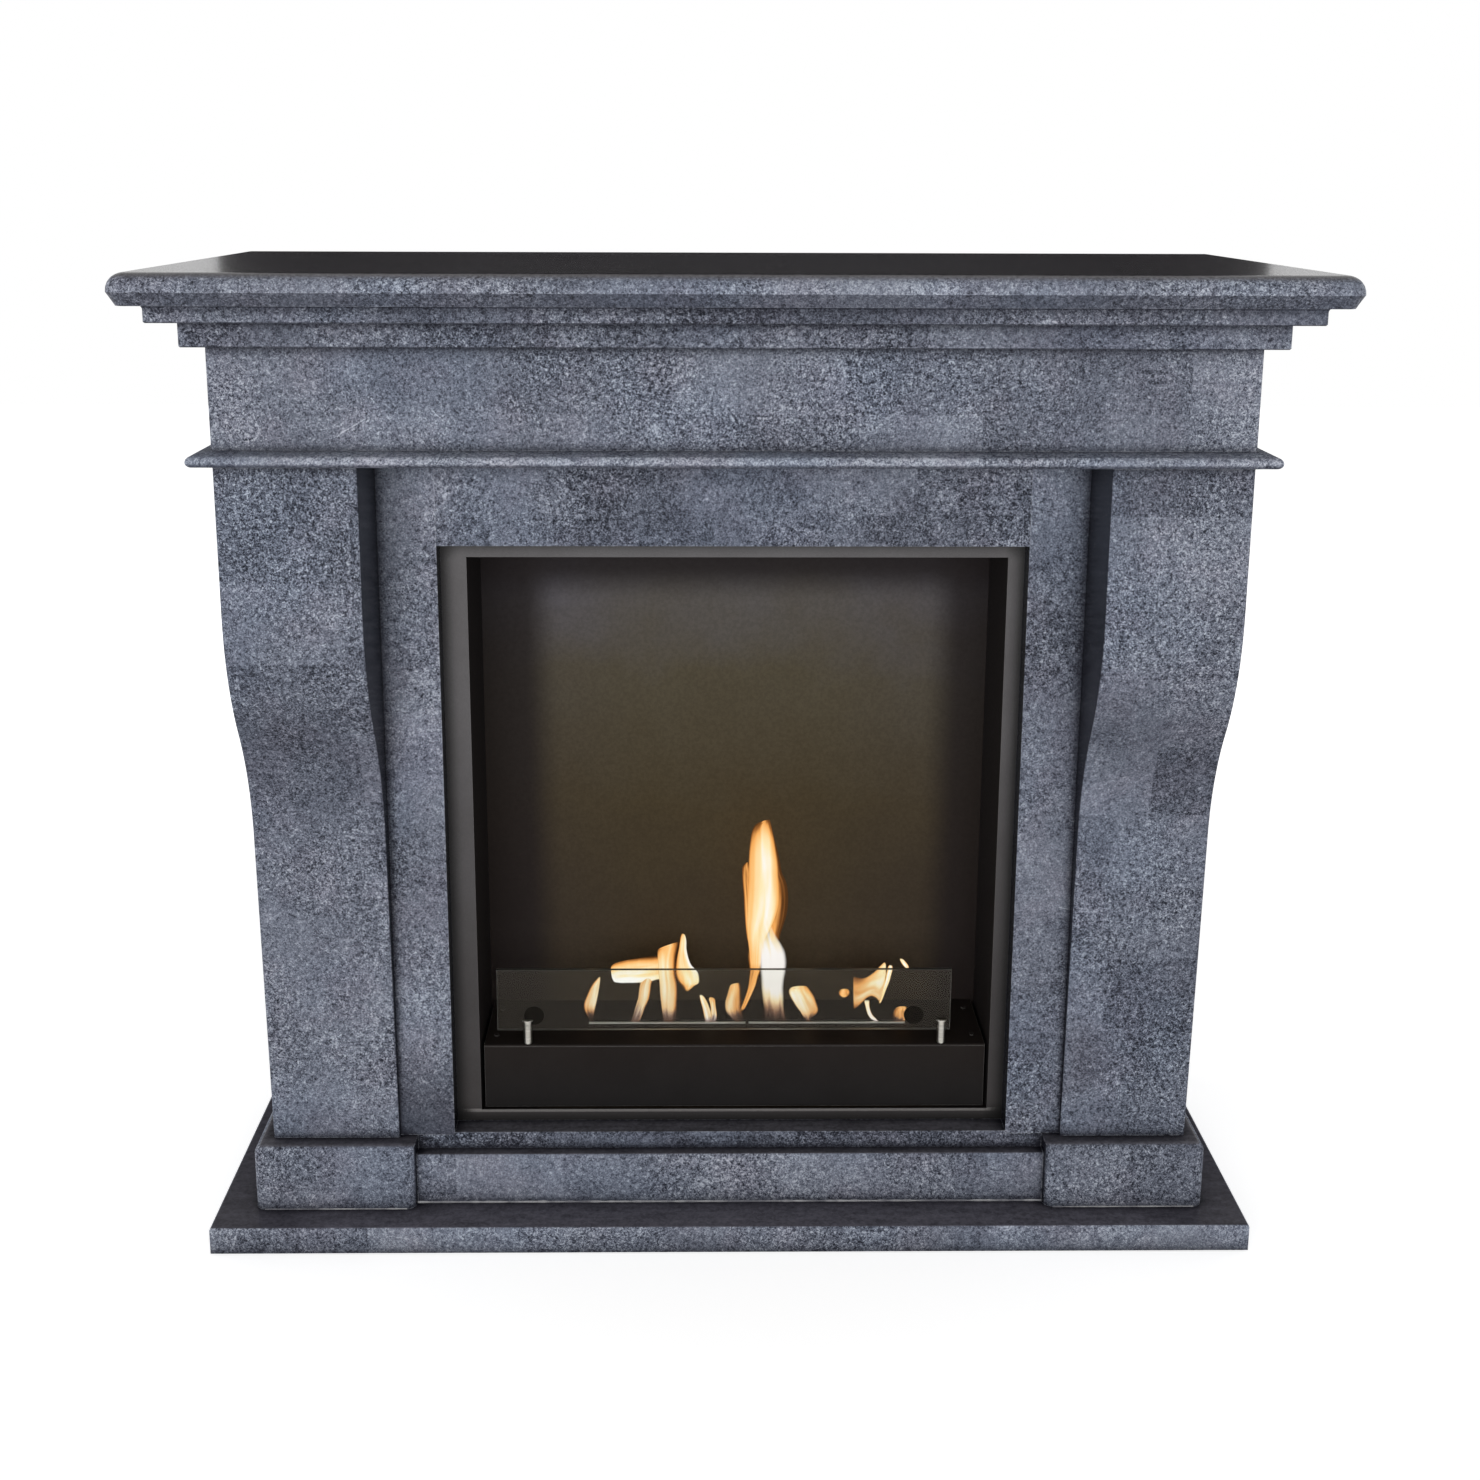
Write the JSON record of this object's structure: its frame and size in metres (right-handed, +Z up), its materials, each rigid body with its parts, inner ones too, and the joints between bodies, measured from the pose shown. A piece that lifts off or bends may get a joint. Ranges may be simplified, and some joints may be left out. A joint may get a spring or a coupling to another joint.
{
  "type": "ethanol fireplace with stone mantel surround",
  "caption": "Stone mantel surround on a hearth slab, with a recessed black steel ethanol insert: burner tray, sliding dampers over flame slots, and a lift-out glass screen.",
  "frame": {"origin": "on the floor under the middle of the shelf", "axes": "+X to the right seen from the front, +Y to the wall behind, +Z up; the front faces -Y"},
  "size_m": [1.15, 0.48, 1.0545],
  "materials": {
    "stone": "bush-hammered dark blue-grey stone",
    "block": "plain light block",
    "zinc_steel": "zinc plated",
    "black_steel": "matt black heat-proof coat",
    "firebox_steel": "matt black heat-proof coat",
    "stainless": "satin stainless",
    "wool": "loose white fibre",
    "foot_rubber": "matt",
    "screen_glass": "clear toughened",
    "pad_black": "matt"
  },
  "bodies": {
    "fireplace": {"astragal_board": "stone", "bracket_screws": "zinc_steel", "burner_reservoir": "stainless", "burner_top_plate": "stainless", "burner_tray": "black_steel", "ceramic_wool": "wool", "clamp_screw": "stainless", "cornice_lower": "stone", "cornice_upper": "stone", "cover_screws": "black_steel", "damper_guides": "stainless", "fender_rail": "stone", "firebox_back": "firebox_steel", "firebox_floor": "firebox_steel", "firebox_roof": "firebox_steel", "firebox_wall_left": "firebox_steel", "firebox_wall_right": "firebox_steel", "flange_screws": "zinc_steel", "frieze_front": "stone", "frieze_return_left": "stone", "frieze_return_right": "stone", "glass_post_left": "stainless", "glass_post_right": "stainless", "header_panel": "stone", "hearth_slab": "stone", "insert_bearer_left": "block", "insert_bearer_right": "block", "insert_flange": "black_steel", "jamb_left": "stone", "jamb_right": "stone", "mantel_shelf": "stone", "pilaster_left": "stone", "pilaster_right": "stone", "plinth_left": "stone", "plinth_right": "stone", "post_nuts": "stainless", "rail_bracket_left": "zinc_steel", "rail_bracket_right": "zinc_steel", "side_panel_left": "stone", "side_panel_right": "stone", "sill_rail": "stone", "tray_cover": "black_steel", "tray_feet": "foot_rubber", "wall_rail": "zinc_steel"},
    "glass_screen": {"glass_pane": "screen_glass", "glass_pads": "pad_black"},
    "damper_left": {"damper_left": "stainless"},
    "damper_right": {"damper_right": "stainless"}
  },
  "joints": [
    {"name": "glass_lift", "type": "slide", "parent": "fireplace", "child": "glass_screen", "axis": [0, 0, 1], "range_m": [0, 0.09]},
    {"name": "damper_left_slide", "type": "slide", "parent": "fireplace", "child": "damper_left", "axis": [0, 1, 0], "range_m": [0, 0.0072]},
    {"name": "damper_right_slide", "type": "slide", "parent": "fireplace", "child": "damper_right", "axis": [0, 1, 0], "range_m": [0, 0.0072]}
  ]
}
